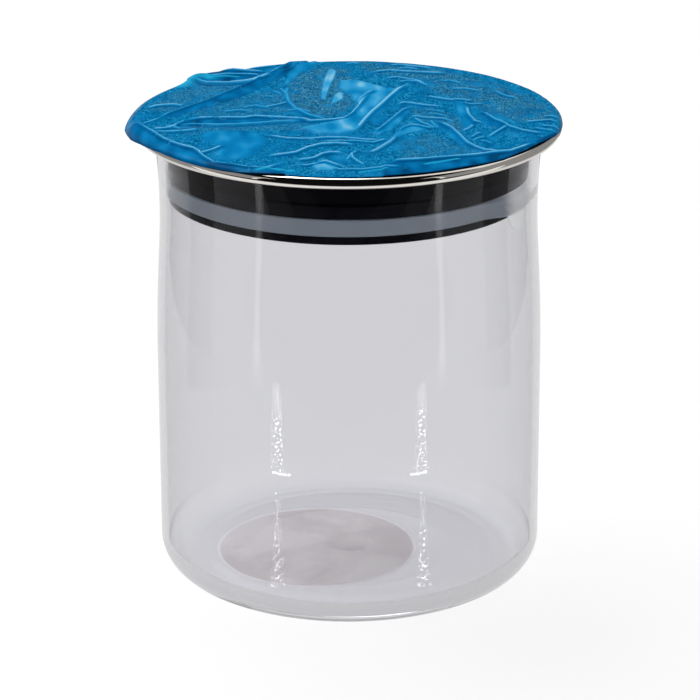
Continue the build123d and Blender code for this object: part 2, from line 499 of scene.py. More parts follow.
# Where the film clings flat and looks greyish: pixels of the outline, soft edge in mm, strength
filmGreys = {
    "disc": ([
        (289, 84), (300, 74), (318, 68), (335, 66), (348, 70), (352, 80), (356, 95), (352, 106),
        (338, 115), (320, 117), (300, 110), (288, 99)], 3, 1),
    "rightBack": ([
        (355, 60), (400, 66), (440, 70), (480, 80), (520, 93), (548, 108), (556, 118), (540, 121),
        (520, 122), (500, 116), (480, 108), (468, 100), (440, 94), (425, 84), (400, 76), (370, 72),
    ], 5, 0.9),
    "rightMiddle": ([
        (408, 108), (430, 108), (455, 116), (468, 130), (455, 133), (440, 125), (420, 120),
    ], 3, 0.75),
    "leftBack": ([
        (146, 110), (175, 92), (200, 86), (235, 84), (262, 84), (240, 92), (215, 100), (190, 106),
        (165, 112)], 4, 0.7),
    "leftMiddle": ([
        (190, 113), (220, 105), (250, 96), (280, 88), (286, 100), (300, 112), (270, 115),
        (230, 116), (200, 118)], 4, 0.5),
    "underStrap": ([
        (170, 128), (200, 127), (240, 127), (300, 123), (340, 132), (300, 131), (250, 130),
        (215, 132), (190, 135)], 2.5, 0.5),
    "frontRight": ([
        (400, 142), (430, 134), (455, 145), (472, 153), (440, 156), (405, 158)], 4, 0.55),
}

# Places where the light comes through a free edge, painted into the colour as a cyan glow: pixels
# along it, half width and height in mm
filmGlints = {
    "curlTip": ([(180, 79), (192, 74), (202, 71), (208, 73)], 1.7, 1.9),
    "curlBack": ([(200, 79), (214, 77), (226, 76), (238, 77)], 0.5, 0.5),
    "frontLeft": ([(258, 169.5), (268, 167), (280, 170), (292, 169)], 0.8, 0.5),
    "frontRight1": ([(426, 163), (440, 161), (458, 158)], 0.55, 0.5),
    "frontRight2": ([(360, 171), (372, 169), (386, 167)], 0.5, 0.5),
}

# Sharp creases, each with a painted highlight along its crest and painted shade in front of it:
# pixels along the crest, half width and height in mm
filmCreases = {
    "longStrapTop": ([
        (146, 125), (171, 113), (190, 106.4), (211, 99), (231.5, 90.2), (252, 81.4), (268, 74.4),
        (282, 67), (293, 62)], 0.7, 0.3),
    "leftRidge": ([(146, 108), (155, 105), (164, 104), (174, 103.7), (186, 105)], 0.9, 0.3),
    "leftFan1": ([(140, 124), (156, 119), (171, 113.4)], 0.8, 0.22),
    "leftFan2": ([(150, 128), (162, 127.5), (174, 125.7), (186, 121.3)], 0.8, 0.35),
    "leftFan3": ([(152, 130), (168, 131), (186, 130), (201, 128)], 0.9, 0.22),
    "leftFan4": ([(164, 124.5), (172, 126.5), (182, 128)], 0.7, 0.2),
    "borderCrest": ([
        (135, 118), (139, 122.7), (146.4, 127.9), (155.2, 133), (164, 138.9), (174.3, 143.3),
        (183, 146.2), (194.8, 149.2), (206, 158), (214, 162.2), (231.5, 163.8), (244.7, 166),
        (256, 167.4), (266.7, 166.8), (277, 163), (285.8, 160.9), (296, 161.6)], 0.8, 0.42),
    "secondStrapTop": ([
        (174.3, 125.7), (186, 121.3), (199.2, 119), (213.9, 118), (231.5, 118.3), (244.7, 118.3),
        (256.4, 116.9), (281.4, 118.3), (310.7, 120), (334, 118.3), (346, 116.9), (352, 113.5),
        (357.5, 107.8), (365.2, 98.6), (370.6, 92.5)], 0.7, 0.4),
    "secondStrapLow": ([
        (174.3, 125.7), (193, 125.2), (214, 125.6), (237, 125.2), (261, 123.7), (281, 122.2),
        (310, 120.6)], 0.6, 0.22),
    "backRidge1": ([(202, 75.8), (219.7, 71.4), (233, 70), (249, 71.4), (268, 72.9)], 0.7, 0.4),
    "backRidge2": ([(206, 78), (226, 75), (246, 75), (264, 76)], 0.7, 0.3),
    "backRidge3": ([
        (187.5, 80.2), (208, 83.4), (228.5, 83.4), (246, 81.4), (262, 78), (274, 73)], 0.8, 0.3),
    "backRidge4": ([(250, 68), (262, 66.5), (276, 65)], 0.7, 0.3),
    "thin1": ([(263.8, 106.6), (275.5, 104.4), (288.7, 101.2)], 0.6, 0.3),
    "thin2": ([(263.8, 95.6), (274, 96.3)], 0.6, 0.25),
    "thin3": ([(272.5, 90.5), (281.4, 93.4)], 0.6, 0.25),
    "thin4": ([(280, 87.5), (285.8, 93.4)], 0.6, 0.25),
    "thin5": ([(240, 107.5), (256, 105), (272, 108)], 0.8, 0.16),
    "thin6": ([(222, 111), (240, 109.6), (252, 111)], 0.8, 0.16),
    "thin7": ([(284, 110), (300, 109), (312, 112)], 0.8, 0.16),
    "discRim": ([
        (289, 84), (286, 92), (288.7, 101), (296, 108), (308, 114), (322, 117.5), (336, 116),
    ], 0.9, 0.18),
    "front1": ([
        (258, 132.6), (272.5, 135.2), (288.7, 137.4), (310.7, 138), (330, 136.9), (345, 136.8),
        (368, 139), (391, 138.4)], 0.65, 0.36),
    "front2": ([(318, 141.5), (336, 140.5), (353, 140), (373, 141.6), (391, 137.6)], 0.65, 0.28),
    "front3": ([
        (260.8, 155.8), (274, 154.3), (285.8, 152.8), (296, 151.3), (307.8, 146.2), (321, 143.3),
        (337, 142.5), (349, 143), (360.6, 144.5)], 0.8, 0.4),
    "front4": ([
        (293, 159.4), (307.8, 158), (315, 156.5), (322.4, 152.8), (331.2, 151.3), (346, 152),
    ], 0.8, 0.36),
    "front5": ([(194.8, 153.6), (202, 152), (211, 149.2), (222.7, 144.7)], 0.8, 0.32),
    "front6": ([
        (296, 163), (306, 164.5), (316, 163), (326, 162), (338, 166), (352, 168)], 0.7, 0.3),
    "swellRidge": ([
        (409.6, 84), (397.3, 91), (388.2, 98.6), (382, 104.7), (372.9, 112.3), (365.2, 120),
        (357.5, 129.2), (348.4, 132.2)], 0.9, 0.42),
    "swellFold": ([(357.5, 106.2), (360.6, 100), (368.3, 94), (374.4, 91)], 0.9, 0.2),
    "wedgeTop": ([
        (412.7, 106.5), (402, 110.6), (394.3, 116.8), (386.6, 123), (379, 129.2), (371.3, 133.8),
    ], 0.7, 0.34),
    "middle1": ([
        (395.8, 104), (403.5, 101.6), (412.7, 102.4), (421.8, 104), (431, 104.7), (443.3, 106.2),
    ], 0.6, 0.36),
    "middle2": ([
        (408, 117), (415.7, 115.4), (428, 117), (443.3, 117.7), (455.5, 121.5)], 0.6, 0.34),
    "middle3": ([(412.7, 116.2), (421.8, 121.5), (429.5, 124.6), (438.7, 129.2)], 0.6, 0.34),
    "middle4": ([(426, 113), (436, 113.5), (448, 116)], 0.6, 0.2),
    "middle5": ([(430, 119.5), (434, 124), (439, 128)], 0.6, 0.24),
    "middle6": ([(424, 109), (434, 110), (446, 112)], 0.6, 0.18),
    "blisterTop": ([
        (397.3, 132.2), (403.5, 127.7), (411, 125.4), (418.8, 126), (428, 128.4), (437, 128.4),
    ], 0.6, 0.3),
    "blisterTail": ([(397.3, 136.8), (389.7, 143), (376, 150.6), (366.7, 153.7)], 0.6, 0.3),
    "right1": ([
        (432.6, 120), (443.3, 123.8), (452.5, 128.4), (460, 135.3), (467.8, 143), (477, 147.6),
        (486, 150.6), (498.4, 150.6), (510.6, 149), (518.3, 146.8)], 0.7, 0.42),
    "right2": ([(423.4, 94.7), (437, 97), (452.5, 99.3), (464.7, 100), (477, 99.3)], 0.6, 0.38),
    "right3": ([(461.6, 103.2), (472, 103.4), (484.6, 102.9)], 0.6, 0.3),
    "right4": ([(466.5, 106.2), (468.6, 113.9), (475.4, 121.5), (486, 123.8)], 0.7, 0.38),
    "right5": ([
        (479.2, 110.8), (486, 113.9), (495.3, 120), (507.6, 124.6), (522.9, 129.2), (536.6, 131.5),
        (550.4, 132.2)], 0.65, 0.4),
    "right6": ([(507.6, 124.6), (496.8, 130.7), (487.7, 136.8)], 0.65, 0.32),
    "right7": ([(461.6, 130.7), (467.8, 128.4), (473.9, 124.6)], 0.6, 0.3),
    "right8": ([(470.8, 136.8), (477, 133), (483, 131.5)], 0.6, 0.26),
    "right9": ([(479, 140), (486, 140.5), (492.3, 143)], 0.6, 0.24),
    "right10": ([(472, 141), (478, 137.5), (486, 136)], 0.6, 0.22),
    "rim1": ([(522.9, 121.5), (538.2, 120), (550.4, 119.2), (559.6, 121.5)], 0.6, 0.3),
    "rim2": ([(540, 124.5), (553.5, 125.6), (560, 127.7)], 0.6, 0.3),
    "rim3": ([(532, 127), (545, 128.6), (558, 131)], 0.6, 0.28),
    "rim4": ([(543, 115.5), (552, 115.5), (559.6, 117)], 0.6, 0.26),
    "back1": ([
        (366, 72.6), (380.5, 70.3), (391.2, 69.5), (402, 70.3), (415.7, 71), (428, 71.8),
        (450.9, 72.2)], 0.65, 0.36),
    "back2": ([(386.6, 64.9), (398.9, 64), (421.8, 66.4), (434, 68)], 0.65, 0.3),
    "back3": ([(382, 77.9), (397.3, 76.4), (415.7, 79.4), (424.9, 83.3)], 0.65, 0.32),
    "back4": ([(395.8, 81), (408, 80), (417, 80.8), (429.5, 85.6)], 0.6, 0.3),
    "back5": ([(345, 63.5), (352, 62.5), (360, 63)], 0.6, 0.26),
    "back6": ([(396, 68), (408, 67), (420, 69)], 0.6, 0.26),
    "back7": ([(436, 80), (450, 80), (462, 83)], 0.8, 0.16),
    "back8": ([(448, 88), (466, 88), (482, 91)], 0.8, 0.16),
    "back9": ([(494, 90), (505, 95), (518, 98)], 0.9, 0.16),
    "edgeRidge": ([
        (383.6, 164.4), (397.3, 159.8), (415.7, 159), (434, 157.5), (452.5, 156), (475.4, 154.4),
        (492.3, 152.2), (510.6, 150.6), (524, 146), (538, 140)], 0.8, 0.42),
    "edgeHook1": ([(351.4, 152), (352.5, 156.5), (357.5, 160.3), (365.2, 164.4)], 0.65, 0.34),
    "edgeHook2": ([(346, 160), (352, 153), (358, 149.6)], 0.65, 0.26),
    "edgeRidge2": ([(330, 170), (346, 168.5), (362, 169), (384, 166), (404, 166.6)], 0.7, 0.28),
}


def onFilm(pixels, height):  # places on the film at a height above the cap, by their pixels
    return np.array([onLevel(pixel, capTop + height)[:2] for pixel in pixels])


def lineReach(spots, line):
    # how far each spot is from a line of points, and where along it the nearest point is, 0 to 1
    nearest = np.full(len(spots), np.inf)
    along = np.zeros(len(spots))
    lengths = np.linalg.norm(np.diff(line, axis=0), axis=1)
    done = 0
    for start, step, length in zip(line, np.diff(line, axis=0), lengths):
        share = np.clip((spots - start) @ step / length ** 2, 0, 1)
        gap = np.linalg.norm(spots - start - share[:, None] * step, axis=1)
        closer = gap < nearest
        nearest[closer] = gap[closer]
        along[closer] = (done + share[closer] * length) / lengths.sum()
        done += length
    return nearest, along


def covered(spots, pixels, height, edge):
    # how far an outline with a soft edge covers each spot, 0 to 1
    outline = onFilm(pixels, height)
    inside = np.zeros(len(spots), bool)
    for (x0, y0), (x1, y1) in zip(outline, np.roll(outline, -1, axis=0)):
        crosses = (y0 > spots[:, 1]) != (y1 > spots[:, 1])
        inside ^= crosses & (spots[:, 0] < x0 + (spots[:, 1] - y0) * (x1 - x0) / (y1 - y0 + 1e-12))
    gap = lineReach(spots, np.vstack([outline, outline[:1]]))[0]
    gap[inside] *= -1
    return easeIn(0.5 - gap / (edge * mm))


def filmRelief(spots):
    # how high the film stands at each spot, how loose it is, its tone with painted highlights and
    # painted shade, the painted light where it is lit through, and how greyish it is there
    rise, loose, paintedShade, light, glint, grey = np.zeros((6, len(spots)))
    tone = np.full(len(spots), film["tone"])
    for pixels, height, edge, patchTone in filmPatches.values():
        cover = covered(spots, pixels, height * mm / 2, edge)
        rise = np.maximum(rise, cover * height * mm)
        loose = np.maximum(loose, cover)
        tone += (patchTone - tone) * cover
    for pixels, edge, strength in filmGreys.values():
        grey = np.maximum(grey, covered(spots, pixels, 0, edge) * strength)
    for pixels, width, height in filmCreases.values():
        line = onFilm(pixels, height * mm)
        width = width * film["creaseWidth"] * mm
        gap, along = lineReach(spots, line)
        ends = np.minimum(along, 1 - along) * film["creaseRunOut"]
        ends = easeIn(ends + film["creaseEnd"])
        crest = np.exp(-(gap / width) ** 2) * ends
        rise += crest * height * mm
        # painted highlight along the crest
        light = np.maximum(light, crest * (film["crestPaintedHighlight"] + height))
        # painted shade, a little in front of the crest
        gap = lineReach(spots + (0, film["paintedShadeShift"] * width), line)[0]
        foot = np.exp(-(gap / (film["paintedShadeSpread"] * width)) ** 2) * ends
        paintedShade = np.maximum(paintedShade, foot * (film["crestPaintedShade"] + height))
    for pixels, width, height in filmGlints.values():
        gap = lineReach(spots, onFilm(pixels, height * mm))[0]
        glint = np.maximum(glint, np.exp(-(gap / (width * mm)) ** 2))

    loose = np.maximum(loose, easeIn(light * film["paintedHighlightLoose"]))
    loose = np.maximum(loose, easeIn(paintedShade * film["paintedShadeLoose"]))
    # the swirl is painted soft shade and light over the film, laid out at random by a noise
    sideways, onwards = film["swirlStretch"]
    swirl = [noise.noise(Vector((x * sideways, y * onwards, film["swirlSlice"]))
                         / film["swirlGrain"]) for x, y in spots]
    tone += np.array(swirl) * film["swirl"]
    # the creases' painted shade and painted highlight are mixed into the tone
    tone += (film["paintedShadeTone"] - tone) * np.clip(paintedShade, 0, 1) * film["paintedShadeShare"]
    tone += (1 - tone) * np.clip(light, 0, 1) ** film["paintedHighlightPower"] * film["paintedHighlightShare"]

    wave = [noise.noise(Vector((x, y, 0)) / film["waveGrain"]) for x, y in spots]
    crinkle = [noise.fractal(Vector((x, y * film["crinkleStretch"], film["crinkleSlice"]))
                             / film["crinkleGrain"], *film["crinkleRoughness"]) for x, y in spots]
    rise += (np.maximum(wave, 0) * film["wave"]
             + (np.array(crinkle) * 0.5 + 0.5) * film["crinkle"])
    return rise, loose, tone, glint, grey


def protectiveFilm():
    shape, disc = roundGrid(film["segments"])
    share = np.linalg.norm(disc, axis=1)
    azimuth = np.degrees(np.arctan2(disc[:, 1], disc[:, 0]))
    edge = np.array(film["edge"])
    turn = np.radians(np.interp(azimuth, edge[:, 0], edge[:, 1]))
    bend = np.interp(azimuth, edge[:, 0], edge[:, 2]) * mm
    flat = share * (curlCentre.x + bend * turn)    # the radius in the flat sheet
    spots = disc / np.maximum(share, 1e-9)[:, None] * flat[:, None]
    rise, loose, tone, glint, grey = filmRelief(spots)
    rise *= 1 - film["edgeFlatter"] * easeIn((flat - curlCentre.x) / film["edgeFlatterIn"])

    away = (azimuth - film["curlAzimuth"]) / film["curlSpread"]
    out = (flat - film["curlStart"]) / (flat.max() - film["curlStart"])
    curl = np.exp(-away ** 2) * easeIn(out * film["curlGain"])
    over = np.maximum(flat - curlCentre.x, 0) / bend
    radius = np.where(over > 0, curlCentre.x + bend * np.sin(over), flat)
    radius += rise * np.sin(over) - curl * film["curlPull"]
    height = capTop + film["gap"] - bend * (1 - np.cos(over))
    height += rise * np.cos(over) + curl * film["curlHeight"]
    angle = np.radians(azimuth)
    places = np.column_stack([radius * np.cos(angle), radius * np.sin(angle), height])
    for point, place in zip(shape.verts, places):
        point.co = place

    rim = easeIn((share - film["rimStart"]) / film["rimWidth"])
    addLayer(shape, "loose", np.maximum(loose, rim))
    # the tone carries the painted highlights and painted shade
    addLayer(shape, "tone", tone * (1 - film["rimDarker"] * rim))
    addLayer(shape, "lit", np.maximum(curl, glint))
    addLayer(shape, "grey", grey)
    bmesh.ops.recalc_face_normals(shape, faces=shape.faces)
    if sum(face.normal.z for face in shape.faces) < 0:
        bmesh.ops.reverse_faces(shape, faces=shape.faces)
    return finishMesh("film_sheet", shape, sharpAngle=180)


def blueFilm():
    # polyethylene film, blown thin and tinted blue: mottled with air bubbles where it clings,
    # glossy where loose, with painted highlights and painted shade along its creases and wrinkles
    # and painted light where light comes through a free edge
    material, add = newMaterial("polyethylene_film_blown_blue")
    place = add("TexCoord").outputs["Object"]
    drawn = add("Mapping", {"Scale": film["drawnOut"]}, {"Vector": place})
    marks = {}
    for name, (grain, detail, roughness, distortion, drawnOut) in film["noises"].items():
        marks[name] = add("TexNoise", {
            "Scale": 1 / grain, "Detail": detail, "Roughness": roughness,
            "Distortion": distortion}, {"Vector": drawn if drawnOut else place})
    for name in ("wrinkled", "smooth"):
        least, most, share = film[name]
        marks[name] = add("MapRange", {
            "From Min": least, "From Max": most, "To Max": share}, {"Value": marks[name]})
    for name in ("loose", "tone", "lit", "grey"):
        marks[name] = add("Attribute", {"attribute_name": name}).outputs["Fac"]
    colours = {}
    for name, stops in film["colours"].items():
        colours[name] = add("ValToRGB", {"stops": stops}, {"Fac": marks[name]})
    smooth = add("Math", {"operation": "MAXIMUM"}, {0: marks["loose"], 1: marks["smooth"]})
    cling = add("Mix", {"data_type": "RGBA"},
                {"Factor": marks["grey"], 6: colours["specks"], 7: colours["fine"]})
    body = add("Mix", {"data_type": "RGBA"},
               {"Factor": smooth, 6: cling.outputs[2], 7: colours["tone"]})
    # painted highlight and painted shade along the fine wrinkles
    for level, colour in film["paintedWrinkleLines"]:
        line = add("Math", {"operation": "SUBTRACT", 1: level}, {0: marks["wrinkles"]})
        line = add("Math", {"operation": "ABSOLUTE"}, {0: line})
        line = add("MapRange", {
            "From Min": 0, "From Max": film["wrinkleWidth"], "To Min": 1, "To Max": 0},
            {"Value": line})
        line = add("Math", {"operation": "MULTIPLY"}, {0: line, 1: marks["wrinkled"]})
        body = add("Mix", {"data_type": "RGBA", 7: colour}, {"Factor": line, 6: body.outputs[2]})
    # painted light: cyan where light comes through the curl and the free edges
    body = add("Mix", {"data_type": "RGBA", 7: "22B4E4"},
               {"Factor": marks["lit"], 6: body.outputs[2]})
    bump = add("Bump", {"Strength": 0.35, "Distance": 0.08 * mm}, {"Height": marks["specks"]})
    plastic = add("BsdfPrincipled", {
        "Roughness": 0.22, "IOR": 1.5, "Specular IOR Level": 0.02},
        {"Base Color": body.outputs[2], "Normal": bump})
    return finishMaterial(material, plastic)


filmPiece = protectiveFilm()
placePiece(filmPiece, "lid", blueFilm(), "film_plastic", "protective_film")

# Black plug under the cap, a moulded cup with a seal groove

plug = {
    "raise": 0.6 * mm,       # its bottom is that much higher than the solid's
    "flangeGap": 1.5 * mm,
    "flangeHeight": 1.9 * mm,
    "clearance": 0.75 * mm,
    "wall": 2.2 * mm,
    "floor": 2 * mm,
    "lipHeight": 2.2 * mm,
    "collarHeight": 3.2 * mm,
    "collarStep": 2.7 * mm,
    "sealHeight": 4.4 * mm,
    "sealDepth": 1.75 * mm,
    "rounding": 0.25 * mm,
    "notch": (58, 98),       # degrees from the front towards +X where the lip is open for the tab
    "grain": 0.6 * mm,
    "steps": 256,
    "bendSteps": 4,
}
plugBottom = plugLow + plug["raise"]
sealBottom = plugBottom + plug["lipHeight"]
grooveRadius = boreRadius(sealBottom) - plug["sealDepth"]


def plugOutline():
    capBottom = capTop - cap["sheet"]
    flangeBottom = capBottom - plug["flangeHeight"]
    grooveTop = sealBottom + plug["sealHeight"]
    collarTop = grooveTop + plug["collarHeight"]
    lip = boreRadius(plugBottom) - plug["clearance"]
    collar = boreRadius(grooveTop) - plug["clearance"]
    stem = collar - plug["collarStep"]
    cup = stem - plug["wall"]
    flange = capRadius - 2 * cap["curl"] - plug["flangeGap"]
    soft = plug["rounding"]
    corners = [
        ((0, plugBottom), 0),
        ((lip, plugBottom), soft),
        ((lip, sealBottom), soft),
        ((grooveRadius, sealBottom), 0),
        ((grooveRadius, grooveTop), 0),
        ((collar, grooveTop), soft),
        ((collar, collarTop), soft),
        ((stem, collarTop), soft),
        ((stem, flangeBottom), 0),
        ((flange, flangeBottom), soft),
        ((flange, capBottom), soft),
        ((cup, capBottom), soft),
        ((cup, plugBottom + plug["floor"]), 2 * soft),
        ((0, plugBottom + plug["floor"]), 0),
    ]
    return roundedPath([c for c, r in corners], [r for c, r in corners[1:-1]], plug["bendSteps"])


def openLip(shape):
    # the lip is set back to the groove along the notch, where the pull tab hangs
    start, end = (radians(angle - 90) for angle in plug["notch"])
    for point in shape.verts:
        radius, angle = point.co.xy.length, np.arctan2(point.co.y, point.co.x)
        if start < angle < end and point.co.z < sealBottom and radius > grooveRadius:
            point.co.xy *= grooveRadius / radius


def mouldedBlack():
    # black polypropylene, injection moulded: deep black with a soft shine and a trace of grain
    material, add = newMaterial("polypropylene_moulded_black")
    place = add("TexCoord").outputs["Object"]
    grain = add("TexNoise", {"Scale": 1 / plug["grain"], "Detail": 3}, {"Vector": place})
    bump = add("Bump", {"Strength": 0.015, "Distance": 0.02 * mm}, {"Height": grain})
    black = add("BsdfPrincipled", {
        "Base Color": "14141A", "Roughness": 0.22, "Specular IOR Level": 0.12}, {"Normal": bump})
    return finishMaterial(material, black)


plugPiece = reshaped(turned("lid_stopper", plugOutline(), plug["steps"]), openLip)
placePiece(plugPiece, "lid", mouldedBlack(), "plug_plastic", "lid_plug")

# Silicone seal round the plug, with the pull tab that hangs from it at the right

seal = {
    "clearance": 0.05 * mm,
    "rounding": 0.4 * mm,
    # the band's outside sags beside the tab: by how much, its lower edge by what share of that,
    # and the azimuths in degrees from the front towards +X where that starts, is full, still is
    # full and ends; the same azimuths for where the band is drawn thin and pale
    "sag": 2.8 * mm,
    "lowSag": 0.75,
    "sagReach": (42, 60, 97, 115),
    "paleReach": (53, 62, 104, 112),
    "steps": 256,
    "bendSteps": 6,
    "tabThickness": 1 * mm,
    "tabInset": 0.2 * mm,
    "tabLength": 14.2 * mm,
    "tabRise": 7.5 * mm,     # the tab's front corner is that much higher
    "tabWidth": 36 * mm,
    "tabSlant": 5 * mm,
    "tabAzimuth": 80,        # degrees from the front towards +X
    "tabColumns": 32,
    "tabRows": 12,
}


def sealOutline():
    low = sealBottom + seal["clearance"]
    inside = grooveRadius + seal["clearance"]
    corners = [(inside, (low + sealTop) / 2), (inside, low),
               (boreRadius(low) - seal["clearance"], low),
               (boreRadius(sealTop) - seal["clearance"], sealTop), (inside, sealTop),
               (inside, (low + sealTop) / 2)]
    radii = [0, seal["rounding"], seal["rounding"], 0]
    return roundedPath(corners, radii, seal["bendSteps"])[:-1]


def reached(azimuth, reach):
    # 0 outside a reach of azimuths, 1 in it, with soft ends
    start, full, fading, end = reach
    rising, falling = (azimuth - start) / (full - start), (end - azimuth) / (end - fading)
    return float(easeIn(rising) * easeIn(falling))


def sagging(shape):
    # towards the pull tab the outside of the band is drawn down over the lip, and goes pale
    inside = grooveRadius + seal["clearance"]
    outside = boreRadius(sealTop) - seal["clearance"]
    azimuths = [np.degrees(np.arctan2(point.co.y, point.co.x)) + 90 for point in shape.verts]
    for point, azimuth in zip(shape.verts, azimuths):
        out = min(max((point.co.xy.length - inside) / (outside - inside), 0), 1)
        share = seal["lowSag"] if point.co.z < (sealBottom + sealTop) / 2 else 1
        point.co.z -= seal["sag"] * reached(azimuth, seal["sagReach"]) * out ** 2 * share
    addLayer(shape, "pale", [reached(azimuth, seal["paleReach"]) for azimuth in azimuths])


def pullTab():
    shape = bmesh.new()
    bmesh.ops.create_grid(shape, x_segments=seal["tabColumns"], y_segments=seal["tabRows"],
                          size=0.5)
    radius = boreRadius(waistHeight) - seal["tabInset"] - seal["tabThickness"]
    bottom, top = sealBottom - seal["tabLength"], sealBottom + seal["rounding"]
    for point in shape.verts:
        across, down = point.co.x, 0.5 - point.co.y
        width = seal["tabWidth"] - 2 * seal["tabSlant"] * down
        angle = radians(seal["tabAzimuth"] - 90) + across * width / radius
        rise = seal["tabRise"] * (0.5 - across) * down
        height = top - down * (top - bottom) + rise
        point.co = (radius * cos(angle), radius * sin(angle), height)
    return finishMesh("seal_tab", thickened(shape, seal["tabThickness"]))


def softSilicone():
    # silicone rubber, moulded: milky and translucent, dark where the black plug is right behind it
    material, add = newMaterial("silicone_moulded_translucent")
    pale = add("Attribute", {"attribute_name": "pale"}).outputs["Fac"]
    tone = add("Mix", {"data_type": "RGBA", 6: "BFCAD5", 7: "FAFBFC"}, {"Factor": pale})
    through = add("MapRange", {"To Min": 0.55, "To Max": 0.3}, {"Value": pale})
    silicone = add("BsdfPrincipled", {"Roughness": 0.42, "IOR": 1.41},
                   {"Base Color": tone.outputs[2], "Transmission Weight": through})
    return finishMaterial(material, silicone)


def thinSilicone():
    # the same silicone as a thin tab with the light behind it: nearly clear, and it glows a
    # little with the light that the glass in front would swallow
    material, add = newMaterial("silicone_moulded_thin")
    silicone = add("BsdfPrincipled", {
        "Base Color": "FAFBFA", "Roughness": 0.3, "IOR": 1.2, "Transmission Weight": 0.72,
        "Emission Color": "FAFBFA", "Emission Strength": 0.14})
    return finishMaterial(material, silicone)


sealPiece = reshaped(turned("seal_band", sealOutline(), seal["steps"], closed=True), sagging)
placePiece(sealPiece, "lid", softSilicone(), "seal_silicone", "seal_ring")
placePiece(pullTab(), "lid", thinSilicone(), "seal_silicone")

# Round paper label under the floor, left of the centre

label = {
    "grid": 60,
    "thickness": 0.06 * mm,
    "inset": 0.02 * mm,      # kept off the glass, so that the two faces don't fight
    "glueGrain": 26 * mm,
    "colours": [(0.42, "D2CBC9"), (0.56, "E2DDDB")],
    "middle": (-8.9 * mm, 0, 0),
    "paleEdge": (25.6 * mm, 26 * mm),    # from the label's middle, where it goes pale
    "glow": 0.43,            # stands in for the light that comes through the floor from behind
}


def labelShape():
    # it follows the underside of the floor, which comes down a little towards the foot
    low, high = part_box("base_label")
    shape, disc = roundGrid(label["grid"])
    places = disc * (high.x - low.x) / 2 + ((low.x + high.x) / 2, (low.y + high.y) / 2)
    for point, place in zip(shape.verts, places):
        slope = (pushUpRadius - np.linalg.norm(place)) / jar["pushUpRun"]
        under = min(1, slope) * jar["pushUpHeight"]
        point.co = (*place, under - label["inset"] - label["thickness"])
    return finishMesh("round_label", thickened(shape, -label["thickness"]))


def labelPaper():
    # coated paper, stuck on with a glue that has flowed out in patches: pinkish grey through the
    # glass, with a pale cut edge
    material, add = newMaterial("coated_paper_glued")
    place = add("TexCoord").outputs["Object"]
    patches = add("TexNoise", {
        "Scale": 1 / label["glueGrain"], "Detail": 9, "Roughness": 0.58, "Distortion": 0.7},
        {"Vector": place})
    tone = add("ValToRGB", {"stops": label["colours"]}, {"Fac": patches})
    reach = add("VectorMath", {"operation": "DISTANCE", 1: label["middle"]}, {0: place})
    near, far = label["paleEdge"]
    edge = add("MapRange", {"From Min": near, "From Max": far}, {"Value": reach.outputs["Value"]})
    tone = add("Mix", {"data_type": "RGBA", 7: "F2EEF0"}, {"Factor": edge, 6: tone})
    paper = add("BsdfPrincipled", {
        "Roughness": 0.6, "Emission Strength": label["glow"]},
        {"Base Color": tone.outputs[2], "Emission Color": tone.outputs[2]})
    return finishMaterial(material, paper)


placePiece(labelShape(), "jar", labelPaper(), "label_paper", "base_label")

# Floor, lamps and world: a plain white studio with two lamp strips, and cards and streaks that
# show only as reflections

